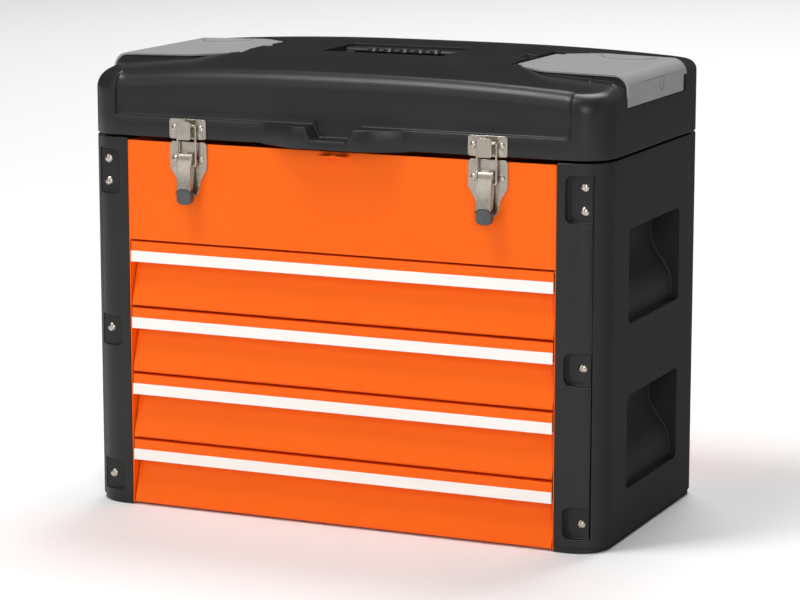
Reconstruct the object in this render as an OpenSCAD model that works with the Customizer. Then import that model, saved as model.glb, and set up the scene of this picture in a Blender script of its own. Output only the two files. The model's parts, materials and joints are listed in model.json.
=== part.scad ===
// Portable tool box: a steel body with four drawers between two moulded end frames,
// under a moulded lid with a sunk carrying handle and two small-parts compartments.
// Millimetres, +Z up, +X to the right, front facing -Y, origin at the middle of the base.

/* [Overall] */
// Width over the two end frames
box_w = 500; // [470:1:540]
// Depth over the two end frames
box_d = 270; // [255:1:300]
// Height from the floor to the top of the end frames
body_h = 340.5; // [334:0.5:352]
// Height from the floor to the crown of the closed lid
box_h = 416.5; // [408:0.5:432]
// Radius of the four upright corners
corner_r = 32; // [28:0.5:36]

/* [Drawers] */
// Step from one drawer to the next
drawer_pitch = 61.5; // [58:0.5:62.5]
// Travel of each drawer
drawer_travel = 170; // [120:1:180]
// Height of the pull strip on each drawer
strip_h = 10; // [8:0.5:12]
// How far a drawer front is set back under its strip
front_setback = 12; // [9:0.5:14]
// Height of a drawer tray wall
tray_h = 46; // [34:0.5:48]

/* [End frames] */
// Width of each front pillar
pillar_w = 43; // [40:0.5:48]
// Wall of the moulded end frames
frame_wall = 3.5; // [3:0.25:4]
// Height of each hand grip recess
grip_h = 84; // [76:1:88]
// Width of each hand grip recess
grip_w = 137; // [120:1:150]
// Depth of each hand grip recess at its top
grip_deep = 28; // [20:0.5:34]

/* [Lid] */
// Height of the proud band round the foot of the lid
band_h = 18.5; // [16:0.5:20]
// Wall of the lid moulding
lid_wall = 5; // [4.5:0.25:6]
// How far the lifting lip stands out at the middle
lip_out = 15; // [10:0.5:18]
// Width of the handle recess
well_w = 120; // [112:1:130]
// Depth of the handle recess from front to back
well_d = 72; // [68:1:80]
// Distance from the middle to the inner edge of a compartment cover
cover_in = 134; // [128:1:140]

/* [Latches] */
// Distance of each latch from the middle
latch_x = 144.5; // [120:0.5:160]
// Width of the latch plates
latch_w = 36.5; // [33:0.5:40]

/* [Hidden] */
$fn = 64;

// colours
orange = [1.0, 0.44, 0.16];
black = [0.2, 0.2, 0.2];
grey = [0.65, 0.65, 0.65];
nickel = [0.76, 0.73, 0.68];
white = [1.0, 0.99, 0.96];
zinc = [0.62, 0.64, 0.66];

// main planes
face_y = -box_d / 2;          // front of the end frames
steel_y = face_y + 1;         // front of the steel panels
back_y = box_d / 2 - 1;       // back of the steel panels
steel_w = box_w - 2 * pillar_w;
sheet = 0.8;                  // panel thickness
side_sheet = 1;               // side panel thickness
inner_x = steel_w / 2 - side_sheet;
steel_top = body_h - 2;
floor_gap = 2;                // steel stands clear of the floor
slop = 1;                     // overrun of a cutter
running = 0.05;               // radial clearance of a pin in its bore
small = 0.3;                  // clearance between moving faces

// the lip reaches further than the rear hinges: all pieces move back by half the difference
knuckle_r = 4;
origin_y = (lip_out - 2 * knuckle_r - small) / 2;

// drawers, counted from the top
drawer_count = 4;
drawer_gap = 2;
drawer_face_h = drawer_pitch - drawer_gap;
stack_top = floor_gap + drawer_count * drawer_pitch;
function drawer_z(k) = floor_gap + (drawer_count - k) * drawer_pitch;
top_band = 8.5;               // plain band over the strip
strip_top = drawer_face_h - top_band;
strip_t = 1.2;
hem_r = 3;                    // rounded lower hem of a drawer front
runner_w = 8.4;
runner_h = 16;
runner_t = 0.8;
runner_z = 26;                // runner centre over the foot of its drawer
tray_x = inner_x - runner_w - 4;
tray_t = 0.7;
tray_z = 3.5;
tray_y0 = steel_y + front_setback + sheet;
tray_y1 = back_y - 16;
rail_t = 0.8;
rail_h = runner_h - 2 * runner_t - 2 * small;
rail_keep = 64;               // length of rail left in the runner when a drawer is open
rail_l = drawer_travel + rail_keep;
runner_l = tray_y1 - tray_y0 + 10;

// pockets in the pillars: height of the centre, height of the pocket
pocket_deep = 7;
pocket_x = box_w / 2 - 35;
pocket_r = 6;
pocket_w = corner_r - 5;
pocket_tall = 41;
pocket_short = 28;
pocket_top_z = body_h - 31;
pocket_mid_z = 162.5;
pocket_low_z = 27;
rivet_x = box_w / 2 - 20;
rivet_step = 10.5;
rivet_zs = [pocket_top_z + rivet_step, pocket_top_z - rivet_step, pocket_mid_z + 1, pocket_low_z - 1];
pocket_floor_y = face_y + pocket_deep;
flange_y = pocket_floor_y + frame_wall;

// hand grips
grip_low_z = 45;
grip_high_z = 193;
grip_shallow = 8;
grip_r = 6;
grip_ledge = 5;
grip_flat = 0.12;             // share of the height before the recess deepens
grip_slope = 0.55;            // share of the height over which it deepens
grip_steps = 14;

// foot of the end frames
foot_h = 5;
foot_in = 1.5;

// lid
joint_gap = 2;
lid_z = body_h + joint_gap;
band_z = lid_z + band_h;
edge_r = 8;                   // radius of the lid's top outer edge
end_drop = 6;                 // fall of the crown at the ends
front_drop = 10.5;            // fall of the crown at the front
back_drop = 3;                // and at the back
crown_x = 92;                 // half length of the level part of the crown
crown_y = 30;                 // half depth of the level part of the crown
crown_side = 10;              // the crown's section ends this far inside front and back
end_r = 14;                   // radius of the crown's ends
front_corner_drop = 18;       // fall of the crown at the front corners
back_corner_drop = 7.5;       // and at the back corners
field_in = 3.5;               // the front field lies behind the band
field_x = box_w / 2 - 30;     // half width of the front field
end_front = 44;               // reach of the level ends to the front
end_back = 70;                // and to the back
lip_half = 75;                // half width of the lip's swell
lip_flat = 28;                // half width of its level part
notch_top = 24;
notch_low = 16.6;
notch_h = 11;
rim_deep = 3;

// compartments in the lid
cover_top_in = box_h - 3.3;   // top of a cover at its inner edge
cover_top_out = box_h - 5.3;  // and at its outer bend
cover_t = 2.4;
cover_bend_r = 14;
cover_end = box_w / 2 + 0.8;
cover_half_in = 53.5;         // half depth of a cover at its inner edge
cover_half_out = 78;          // and past its flare
cover_flare = 42;             // length of the flare
cover_low = box_h - 33.5;     // foot of the end flap
pad_in = 0.8;                 // the pad lies inside the cover's outline
pad_foot = box_h - 13;        // its lower side over the bin
hinge_r = 2.8;                // barrel on the cover's inner edge
hinge_pin_r = 1.5;
cover_pin_x = cover_in + hinge_r;
cover_pin_z = cover_top_in - hinge_r;
barrel_half = cover_half_in - 6;
cover_gap = 0.75;             // clearance round a cover
seat_back = 1.6;              // the seat reaches this far behind a cover's inner edge
arc_r = 27;                   // raised arc on a cover
arc_w = 2.5;
arc_h = 0.5;
arc_x = cover_in + 68;
arc_y = 60;
flap_step = 9;                // the end flap is this much shorter at the back
mark_r = 7;                   // round mark in a cover's end flap
mark_in = 0.6;
mark_y = 8;
keeper_w = 9.6;
keeper_h = 3.4;
keeper_y = -8;
cover_pin_half = barrel_half + 5;
bearing_end = cover_half_in + 2;
corner_cut = 2 * hinge_r + 3.4; // the cover is cut back this far at the bearings
spine_half = 7;               // solid plastic kept round a cover's barrel
bin_in = cover_in + 12;
bin_out = box_w / 2 - 16;
bin_half = 50;
bin_floor = box_h - 42;
bin_wall = 2.5;

// handle
well_floor = box_h - 23;
well_wall = 3;
grip_bar_d = 18;
grip_bar_h = 12;
grip_top = box_h - 1.8;
bar_back = well_d / 2 - 3.5;
bar_front = bar_back - grip_bar_d;
bar_half = well_w / 2 - 2;
arm_w = 9;
arm_h = 8;
arm_y = -well_d / 2 + 9;
arm_z = box_h - 9;
handle_pin_r = 3;
handle_pin_in = 4;
handle_pin_l = well_w / 2 - bar_half + handle_pin_in - small + slop;
boss_r = 8;
scallop_step = 15.5;
scallop_r = 9.5;
scallop_in = 3.2;

// padlock tab under the lip
tab_w = 26;
tab_out = 11;
tab_drop = 4;
tab_hole_r = 3.5;

// rear hinges
hinge_x = 140;
hinge_w = 60;
hinge_rod_r = 2;
hinge_y = box_d / 2 + knuckle_r + small;
hinge_z = body_h + 1;
leaf_t = 2;
leaf_h = 26;
knuckle_gap = 0.3;
knuckle_w = hinge_w / 3;
leaf_rivet_x = 18;
leaf_rivet_z = steel_top - 14;
lid_leaf_rivet_z = lid_z + 11;

// latches
plate_t = 1.5;
base_top = body_h - 0.5;
base_h = 50;
catch_h = 18;
hook_w = 13.4;
hook_t = 1.4;
hook_r = 2;                   // corners of the hook's front plate
hook_y = face_y - 9.3;
hook_shelf_z = lid_z + 10.5;
hook_top = lid_z + 16.5;
wire_r = 1.1;
lever_y = face_y - 4.5;
lever_z = body_h - 13.5;
lever_r = 3.2;
lever_pin_r = 1.5;
bail_y = face_y - 3.6;
bail_z = lever_z - 8;
bend_r = 2.2;                 // radius of the wire's corners
bail_top_z = hook_shelf_z + wire_r + small;
bail_half = hook_w / 2 + 2.25;
ear_t = 0.8;
ear_r = 4.2;
ear_in = hook_w / 2 + 0.1;
lever_flat_y = face_y - 10.5;
lever_foot_z = lever_z - 31;
tip_foot_z = lever_z - 42.5;
flange_t = 1.2;
tip_w = hook_w + 0.6;
tip_t = 8.6;
tip_r = 5;                    // its lower corners
tip_proud = 1;                // the grip stands this far in front of the lever
rest_out = 2;                 // stop on the base that the lever's foot lies against
small_hole_r = 1.6;
latch_rivet_x = 13;
base_rivet_z = lever_z - 3;
catch_rivet_z = lid_z + 9.5;

// the box about its own middle, moved so that the origin lies under the middle of the whole
module placed() translate([0, origin_y, 0]) children();

// rounded rectangle centred on the origin
module rounded_plan(w, d, r) {
    square([w - 2 * r, d], center = true);
    square([w, d - 2 * r], center = true);
    for (sx = [-1, 1], sy = [-1, 1])
        translate([sx * (w / 2 - r), sy * (d / 2 - r)])
            circle(r = r);
}

// a domed rivet: head on the XY plane pointing to +Z, shank below with an upset tail
module rivet(head_r, head_h, shank_r, grip) {
    dome_r = (head_r * head_r + head_h * head_h) / (2 * head_h);
    intersection() {
        translate([0, 0, head_h - dome_r]) sphere(r = dome_r, $fn = 48);
        cylinder(r = head_r, h = head_h);
    }
    translate([0, 0, -grip]) cylinder(r = shank_r, h = grip, $fn = 32);
    translate([0, 0, -grip - slop]) cylinder(r = 1.5 * shank_r, h = slop, $fn = 32);
}

// ---------------------------------------------------------------- steel body

// side panel with outward flanges behind the pillars
module side_panel(side) {
    flange_x = box_w / 2 - 15;
    color(orange) mirror([side < 0 ? 1 : 0, 0, 0]) {
        translate([inner_x, steel_y, floor_gap])
            cube([side_sheet, back_y - steel_y, steel_top - floor_gap]);
        for (sy = [0, 1]) mirror([0, sy, 0])
            difference() {
                translate([inner_x + side_sheet, flange_y, foot_h + frame_wall])
                    cube([flange_x - inner_x - side_sheet, sheet, body_h - 2 * frame_wall - 2 * foot_h]);
                for (z = rivet_zs)
                    translate([rivet_x, flange_y + sheet + slop, z]) rotate([90, 0, 0])
                        cylinder(r = 2, h = sheet + 2 * slop, $fn = 32);
            }
    }
}
module left_side_panel() side_panel(-1);
module right_side_panel() side_panel(1);

module back_panel() color(orange) difference() {
    translate([-inner_x, back_y - sheet, floor_gap]) cube([2 * inner_x, sheet, steel_top - floor_gap]);
    for (sx = [-1, 1], dx = [-1, 1])
        translate([sx * hinge_x + dx * leaf_rivet_x, back_y + slop, leaf_rivet_z]) rotate([90, 0, 0])
            cylinder(r = 2, h = sheet + 2 * slop, $fn = 32);
}

module bottom_panel() color(orange)
    translate([-inner_x, tray_y0, floor_gap]) cube([2 * inner_x, back_y - sheet - tray_y0, sheet]);

// floor of the top bay, turned down behind the fascia's lower edge
module bay_floor() color(orange)
    translate([-inner_x, steel_y + sheet, stack_top + sheet])
        cube([2 * inner_x, back_y - sheet - steel_y - sheet, sheet]);

// fascia with a folded lower edge and the padlock tab under the lip
module front_fascia() color(orange) {
    difference() {
        translate([-inner_x, steel_y, stack_top]) cube([2 * inner_x, sheet, steel_top - stack_top]);
        for (sx = [-1, 1], dx = [-1, 1])
            translate([sx * latch_x + dx * latch_rivet_x, steel_y + sheet + slop, base_rivet_z])
                rotate([90, 0, 0]) cylinder(r = small_hole_r, h = sheet + 2 * slop, $fn = 32);
    }
    translate([-inner_x, steel_y, stack_top]) cube([2 * inner_x, front_setback, sheet]);
    difference() {
        translate([-tab_w / 2, steel_y - tab_out, steel_top - tab_drop]) cube([tab_w, tab_out, plate_t]);
        translate([0, steel_y - tab_out / 2, steel_top - tab_drop - slop])
            cylinder(r = tab_hole_r, h = plate_t + 2 * slop);
    }
}

// channel runners, one each side of each drawer
module runner() difference() {
    cube([runner_w, runner_l, runner_h]);
    translate([-slop, -slop, runner_t])
        cube([runner_w - runner_t + slop, runner_l + 2 * slop, runner_h - 2 * runner_t]);
}
module drawer_runners() color(zinc)
    for (k = [1 : drawer_count], side = [0, 1])
        mirror([side, 0, 0])
            translate([inner_x - runner_w, tray_y0 + 2, drawer_z(k) + runner_z - runner_h / 2]) runner();

// ---------------------------------------------------------------- end frames

// depth of the hand grip recess at height t, 0 at its foot and 1 at its top
function ramp(t) = min(1, max(0, (t - grip_flat) / grip_slope));
function grip_depth(t) = grip_shallow + (grip_deep - grip_shallow) * (0.5 - 0.5 * cos(180 * ramp(t)));
function grip_point(t, extra) = [box_w / 2 - extra - grip_depth(t),
    grip_ledge + (grip_h - grip_ledge) * t - extra * (1 - 2 * t)];
function grip_outline(extra) = concat(
    [[box_w, -extra], [box_w / 2 - grip_shallow - extra, -extra]],
    [for (i = [0 : grip_steps]) grip_point(i / grip_steps, extra)],
    [[box_w, grip_h + extra]]);

module grip_body(extra) intersection() {
    rotate([90, 0, 0]) linear_extrude(grip_w + 2 * extra, center = true) polygon(grip_outline(extra));
    translate([0, 0, grip_h / 2]) rotate([90, 0, 90])
        linear_extrude(box_w) rounded_plan(grip_w + 2 * extra, grip_h + 2 * extra, grip_r + extra);
}

module pillar_pocket(z, h) translate([pocket_x + pocket_w / 2, face_y + pocket_deep, z]) rotate([90, 0, 0])
    linear_extrude(pocket_deep + slop) rounded_plan(pocket_w, h, pocket_r);

module pillar_pad(z, h) translate([steel_w / 2, face_y, z - h / 2 - frame_wall])
    cube([corner_r + 10, pocket_deep + frame_wall, h + 2 * frame_wall]);

module frame_outer() {
    translate([0, 0, foot_h]) linear_extrude(body_h - foot_h) rounded_plan(box_w, box_d, corner_r);
    linear_extrude(foot_h + slop / 2)
        rounded_plan(box_w - 2 * foot_in, box_d - 2 * foot_in, corner_r - foot_in);
}

module end_frame(side) color(black) mirror([side < 0 ? 1 : 0, 0, 0]) difference() {
    union() {
        difference() {
            intersection() {
                frame_outer();
                translate([steel_w / 2, -box_d, -slop]) cube([box_w, 2 * box_d, body_h + 2 * slop]);
            }
            translate([0, 0, frame_wall]) linear_extrude(body_h - 2 * frame_wall)
                rounded_plan(box_w - 2 * frame_wall, box_d - 2 * frame_wall, corner_r - frame_wall);
        }
        intersection() {
            frame_outer();
            for (sy = [0, 1]) mirror([0, sy, 0]) {
                pillar_pad(pocket_top_z, pocket_tall);
                pillar_pad(pocket_mid_z, pocket_short);
                pillar_pad(pocket_low_z, pocket_short);
            }
        }
        intersection() {
            frame_outer();
            for (z = [grip_low_z, grip_high_z]) translate([0, 0, z]) grip_body(frame_wall);
        }
    }
    for (z = [grip_low_z, grip_high_z]) translate([0, 0, z]) grip_body(0);
    for (sy = [0, 1]) mirror([0, sy, 0]) {
        pillar_pocket(pocket_top_z, pocket_tall);
        pillar_pocket(pocket_mid_z, pocket_short);
        pillar_pocket(pocket_low_z, pocket_short);
        for (z = rivet_zs)
            translate([rivet_x, flange_y + slop, z]) rotate([90, 0, 0])
                cylinder(r = 2, h = frame_wall + 2 * slop, $fn = 32);
    }
}
module left_end_frame() end_frame(-1);
module right_end_frame() end_frame(1);

module frame_rivets() color(nickel)
    for (sx = [0, 1], sy = [0, 1], z = rivet_zs)
        mirror([sx, 0, 0]) mirror([0, sy, 0])
            translate([rivet_x, pocket_floor_y, z]) rotate([90, 0, 0])
                rivet(4.2, 2.2, 1.9, frame_wall + sheet);

// ---------------------------------------------------------------- drawers

// one drawer front, folded from sheet: y into the body, z up from its lower edge
step_z = strip_top - strip_h + 1.3;
strip_in = 7;                 // the strip's lower leaf reaches this far under the step
strip_leaf_t = 0.9;
function front_fold() = concat(
    [[front_setback, drawer_face_h], [0, drawer_face_h], [0, step_z], [front_setback, step_z - 1]],
    [for (a = [0 : 15 : 90]) [hem_r - hem_r * cos(a), hem_r - hem_r * sin(a)]],
    [[front_setback - 2, 0], [front_setback - 2, sheet]],
    [for (a = [90 : -15 : 15]) [hem_r - (hem_r - sheet) * cos(a), hem_r - (hem_r - sheet) * sin(a)]],
    [[front_setback + sheet, step_z - 1.4], [front_setback + sheet, step_z - 1 + sheet],
     [sheet, step_z + sheet], [sheet, drawer_face_h - sheet], [front_setback, drawer_face_h - sheet]]);

module across(w) rotate([90, 0, 90]) translate([0, 0, -w / 2]) linear_extrude(w) children();

module drawer_front(k) color(orange) translate([0, steel_y, drawer_z(k)])
    across(2 * inner_x - 2) polygon(front_fold());

module drawer_strip(k) color(white) translate([0, steel_y, drawer_z(k)])
    across(2 * inner_x - 2)
        polygon([[-strip_t, strip_top - strip_h], [-strip_t, strip_top], [0, strip_top], [0, step_z],
            [strip_in, step_z - strip_in / front_setback],
            [strip_in, step_z - strip_in / front_setback - strip_leaf_t], [0, strip_top - strip_h]]);

module drawer_tray(k) color(zinc)
    translate([-tray_x, tray_y0, drawer_z(k) + tray_z]) difference() {
        cube([2 * tray_x, tray_y1 - tray_y0, tray_h]);
        translate([tray_t, tray_t, tray_t])
            cube([2 * tray_x - 2 * tray_t, tray_y1 - tray_y0 - 2 * tray_t, tray_h]);
    }

module drawer_rails(k) color(zinc)
    for (side = [0, 1]) mirror([side, 0, 0])
        translate([tray_x, tray_y0 + 4, drawer_z(k) + runner_z - rail_h / 2]) difference() {
            cube([inner_x - runner_t - small - tray_x, rail_l, rail_h]);
            translate([rail_t, -slop, rail_t])
                cube([inner_x, rail_l + 2 * slop, rail_h - 2 * rail_t]);
        }

// ---------------------------------------------------------------- rear hinges

module knuckle(x0, w) translate([x0, hinge_y, hinge_z]) rotate([0, 90, 0]) cylinder(r = knuckle_r, h = w);
module rod_bore(x, gap) translate([x - hinge_w, hinge_y, hinge_z]) rotate([0, 90, 0])
    cylinder(r = hinge_rod_r + gap, h = 2 * hinge_w);

module hinge_body_leaves() color(nickel) for (sx = [-1, 1]) {
    x0 = sx * hinge_x - hinge_w / 2;
    difference() {
        union() {
            translate([x0, back_y, steel_top - 1.5 - leaf_h]) cube([hinge_w, leaf_t, leaf_h]);
            for (x = [x0, x0 + hinge_w - knuckle_w + knuckle_gap]) {
                translate([x, back_y, steel_top - 2]) cube([knuckle_w - knuckle_gap, leaf_t, 3]);
                translate([x, back_y, body_h - 2]) cube([knuckle_w - knuckle_gap, hinge_y - back_y, 2]);
                knuckle(x, knuckle_w - knuckle_gap);
            }
        }
        rod_bore(sx * hinge_x, 0);
        for (x = [-1, 1]) translate([sx * hinge_x + x * leaf_rivet_x, back_y - slop, leaf_rivet_z])
            rotate([-90, 0, 0]) cylinder(r = 2, h = leaf_t + 2 * slop, $fn = 32);
    }
}

module hinge_lid_leaves() color(nickel) for (sx = [-1, 1]) {
    x0 = sx * hinge_x - hinge_w / 2;
    difference() {
        union() {
            translate([x0, box_d / 2, lid_z + 4]) cube([hinge_w, leaf_t, band_h - 4]);
            translate([x0 + knuckle_w + knuckle_gap, box_d / 2, lid_z + 0.2])
                cube([knuckle_w - 2 * knuckle_gap, hinge_y - box_d / 2, 2]);
            translate([x0 + knuckle_w + knuckle_gap, box_d / 2, lid_z + 0.2])
                cube([knuckle_w - 2 * knuckle_gap, leaf_t, 5]);
            knuckle(x0 + knuckle_w + knuckle_gap, knuckle_w - 2 * knuckle_gap);
        }
        rod_bore(sx * hinge_x, running);
        for (x = [-1, 1]) translate([sx * hinge_x + x * leaf_rivet_x, box_d / 2 - slop, lid_leaf_rivet_z])
            rotate([-90, 0, 0]) cylinder(r = 2, h = leaf_t + 2 * slop, $fn = 32);
    }
}

module hinge_pins() color(nickel) for (sx = [-1, 1])
    translate([sx * hinge_x - hinge_w / 2, hinge_y, hinge_z]) rotate([0, 90, 0])
        cylinder(r = hinge_rod_r, h = hinge_w);

// ---------------------------------------------------------------- latches

// outline of a latch base: wide over the rivets, drawn in to the foot
module base_outline() {
    half = latch_w / 2;
    polygon([[-half + 2, 0], [-half, -2], [-half, -24], [-half + 6, -34], [-half + 9, -base_h + 4],
        [-half + 13, -base_h], [half - 13, -base_h], [half - 9, -base_h + 4], [half - 6, -34],
        [half, -24], [half, -2], [half - 2, 0]]);
}

module on_front(y) translate([0, y, 0]) rotate([90, 0, 0]) children();

module latch_base(x) translate([x, 0, 0]) difference() {
    union() {
        on_front(steel_y) translate([0, base_top, 0]) linear_extrude(plate_t) base_outline();
        for (sx = [0, 1]) mirror([sx, 0, 0]) translate([ear_in, 0, 0]) {
            translate([0, lever_y, lever_z]) rotate([0, 90, 0]) cylinder(r = ear_r, h = ear_t);
            translate([0, lever_y, lever_z - ear_r]) cube([ear_t, steel_y - lever_y, 2 * ear_r]);
        }
        translate([-hook_w / 2 + 1, steel_y - plate_t - rest_out, lever_z - 38])
            cube([hook_w - 2, rest_out + slop / 2, 4]);
    }
    translate([-latch_w, lever_y, lever_z]) rotate([0, 90, 0])
        cylinder(r = lever_pin_r, h = 2 * latch_w, $fn = 32);
    for (sx = [-1, 1]) translate([sx * latch_rivet_x, steel_y + slop, base_rivet_z]) rotate([90, 0, 0])
        cylinder(r = small_hole_r, h = plate_t + 2 * slop, $fn = 32);
}
module latch_bases() color(nickel) for (sx = [-1, 1]) latch_base(sx * latch_x);

module latch_pins() color(nickel) for (sx = [-1, 1])
    translate([sx * latch_x - ear_in - ear_t, lever_y, lever_z]) rotate([0, 90, 0])
        cylinder(r = lever_pin_r, h = 2 * (ear_in + ear_t), $fn = 32);

module latch_catch(x) translate([x, 0, 0]) difference() {
    union() {
        on_front(face_y) translate([0, lid_z + catch_h / 2, 0]) linear_extrude(plate_t)
            rounded_plan(latch_w, catch_h, 2.5);
        on_front(hook_y + hook_t) translate([0, (lid_z + hook_top) / 2, 0]) linear_extrude(hook_t)
            rounded_plan(hook_w, hook_top - lid_z, hook_r);
        translate([-hook_w / 2, hook_y, hook_shelf_z - hook_t])
            cube([hook_w, face_y - plate_t - hook_y + slop / 2, hook_t]);
    }
    for (sx = [-1, 1]) translate([sx * latch_rivet_x, face_y + slop, catch_rivet_z]) rotate([90, 0, 0])
        cylinder(r = small_hole_r, h = plate_t + 2 * slop, $fn = 32);
}
module latch_catches() color(nickel) for (sx = [-1, 1]) latch_catch(sx * latch_x);

module plate_rivets() color(nickel) {
    for (sx = [-1, 1], dx = [-1, 1]) {
        translate([sx * latch_x + dx * latch_rivet_x, steel_y - plate_t, base_rivet_z]) rotate([90, 0, 0])
            rivet(3.2, 1.8, 1.5, plate_t + sheet);
        translate([sx * hinge_x + dx * leaf_rivet_x, back_y + leaf_t, leaf_rivet_z]) rotate([-90, 0, 0])
            rivet(3.2, 1.8, 1.9, leaf_t + sheet);
    }
}

module lid_rivets() color(nickel)
    for (sx = [-1, 1], dx = [-1, 1]) {
        translate([sx * latch_x + dx * latch_rivet_x, face_y - plate_t, catch_rivet_z]) rotate([90, 0, 0])
            rivet(3.2, 1.8, 1.5, plate_t + lid_wall + field_in - 2);
        translate([sx * hinge_x + dx * leaf_rivet_x, box_d / 2 + leaf_t, lid_leaf_rivet_z])
            rotate([-90, 0, 0]) rivet(3.2, 1.8, 1.9, leaf_t + lid_wall);
    }

// lever: a pressed channel on its pivot, with a bend under the pivot
module lever(x) color(nickel) translate([x, 0, 0]) difference() {
    union() {
        translate([-hook_w / 2, lever_y, lever_z]) rotate([0, 90, 0]) cylinder(r = lever_r, h = hook_w);
        across(hook_w) polygon([[lever_y - lever_r, lever_z], [lever_y - lever_r, lever_z - 4],
            [lever_flat_y, lever_z - 11], [lever_flat_y, lever_foot_z - 7],
            [lever_flat_y + hook_t, lever_foot_z - 7], [lever_flat_y + hook_t, lever_z - 10.5],
            [lever_y - lever_r + hook_t, lever_z - 3.5], [lever_y - lever_r + hook_t, lever_z]]);
        for (sx = [0, 1]) mirror([sx, 0, 0]) translate([hook_w / 2 - flange_t / 2, 0, 0]) across(flange_t)
            polygon([[lever_y - lever_r, lever_z], [lever_y - lever_r, lever_z - 4],
                [lever_flat_y, lever_z - 11], [lever_flat_y, lever_foot_z + 2],
                [lever_flat_y + 5, lever_foot_z + 2],
                [bail_y + 1.9, bail_z - 6], [bail_y + 1.9, bail_z + 2], [lever_y + 1.5, lever_z]]);
    }
    translate([-latch_w, lever_y, lever_z]) rotate([0, 90, 0])
        cylinder(r = lever_pin_r + running, h = 2 * latch_w, $fn = 32);
    translate([-latch_w, bail_y, bail_z]) rotate([0, 90, 0])
        cylinder(r = wire_r + running, h = 2 * latch_w, $fn = 32);
}
module left_lever() lever(-latch_x);
module right_lever() lever(latch_x);

// plastic grip on the end of a lever
module lever_tip(x) color(black) translate([x, 0, 0]) difference() {
    on_front(lever_flat_y + tip_t - tip_proud) linear_extrude(tip_t) {
        translate([-tip_w / 2, tip_foot_z + tip_r]) square([tip_w, lever_foot_z - tip_foot_z - tip_r]);
        translate([0, tip_foot_z + tip_w / 2]) rounded_plan(tip_w, tip_w, tip_r);
    }
    translate([-hook_w / 2, lever_flat_y, lever_foot_z - 7]) cube([hook_w, hook_t, 20]);
}
module left_lever_tip() lever_tip(-latch_x);
module right_lever_tip() lever_tip(latch_x);

// wire bail: its ends turn into the lever's flanges, its top lies over the shelf of the catch
module wire(from, to_x, z) translate([from, bail_y, z]) rotate([0, 90, 0])
    cylinder(r = wire_r, h = to_x - from, $fn = 48);
module elbow() rotate([90, 0, 0]) rotate_extrude(angle = 90, $fn = 48)
    translate([bend_r, 0]) circle(r = wire_r, $fn = 48);
module bail(x) color(nickel) translate([x, 0, 0]) {
    wire(bend_r - bail_half, bail_half - bend_r, bail_top_z);
    for (sx = [0, 1]) mirror([sx, 0, 0]) {
        translate([bail_half, bail_y, bail_z + bend_r])
            cylinder(r = wire_r, h = bail_top_z - bail_z - 2 * bend_r, $fn = 48);
        translate([bail_half - bend_r, bail_y, bail_top_z - bend_r]) elbow();
        translate([bail_half - bend_r, bail_y, bail_z + bend_r]) mirror([0, 0, 1]) elbow();
        wire(hook_w / 2 - flange_t - 1, bail_half - bend_r, bail_z);
    }
}
module left_bail() bail(-latch_x);
module right_bail() bail(latch_x);

// ---------------------------------------------------------------- lid

// fall of the crown towards the front and the back
function crown_share(y) = max(0, abs(y) - crown_y) / (box_d / 2 - crown_side - crown_y);
function crown_across(y) = y < 0 ? front_drop * pow(crown_share(y), 1.2) : back_drop * pow(crown_share(y), 2);

// the lid's outer form, drawn in by inset on every side
module lid_form(inset, foot) {
    hx = box_w / 2 - corner_r;
    hy = box_d / 2 - corner_r;
    end_x = box_w / 2 - end_r;
    edge_y = box_d / 2 - crown_side;
    end_z = box_h - end_drop - end_r;
    edge_drop = [front_drop + 0.5, back_drop + 0.5];
    corner_drop = [front_corner_drop, back_corner_drop];
    round_r = end_r - inset;
    hull() {
        for (sx = [-1, 1], k = [0, 1]) {
            sy = 2 * k - 1;
            translate([sx * hx, sy * hy, foot]) cylinder(r = corner_r - inset, h = slop, $fn = 48);
            translate([sx * hx, sy * hy, box_h - corner_drop[k] - edge_r]) rotate_extrude($fn = 48)
                translate([corner_r - edge_r, 0]) circle(r = edge_r - inset, $fn = 24);
            translate([sx * crown_x, sy * (box_d / 2 - edge_r), box_h - edge_drop[k] - edge_r])
                sphere(r = edge_r - inset, $fn = 32);
        }
        rotate([90, 0, 90]) linear_extrude(2 * crown_x, center = true) polygon(concat(
            [for (i = [-1 : 0.0625 : 1]) [(edge_y - inset) * i, box_h - inset - crown_across(edge_y * i)]],
            [[edge_y - inset, foot], [-edge_y + inset, foot]]));
        translate([0, end_back - inset, 0]) rotate([90, 0, 0])
            linear_extrude(end_front + end_back - 2 * inset) polygon(concat(
                [for (a = [0 : 11.25 : 90]) [end_x + round_r * cos(a), end_z + round_r * sin(a)]],
                [for (a = [90 : 11.25 : 180]) [-end_x + round_r * cos(a), end_z + round_r * sin(a)]],
                [[-box_w / 2 + inset, foot], [box_w / 2 - inset, foot]]));
    }
}

// plan of the lip: level at the middle, running out smoothly to the band
function flare(t) = t * t * (3 - 2 * t);
function swell(x) = lip_out * flare(min(1, max(0, (lip_half - abs(x)) / (lip_half - lip_flat))));
module lip_plan() polygon(concat(
    [for (i = [-15 : 15]) [lip_half * i / 15, face_y - swell(lip_half * i / 15)]],
    [[lip_half, face_y + field_in + 2], [-lip_half, face_y + field_in + 2]]));

module lid_lip() difference() {
    translate([0, 0, lid_z - 1]) linear_extrude(band_h + 1) lip_plan();
    on_front(face_y + field_in) linear_extrude(lip_out + 10)
        polygon([[-notch_top, band_z + slop], [-notch_low, band_z - notch_h],
            [notch_low, band_z - notch_h], [notch_top, band_z + slop]]);
}

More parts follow.
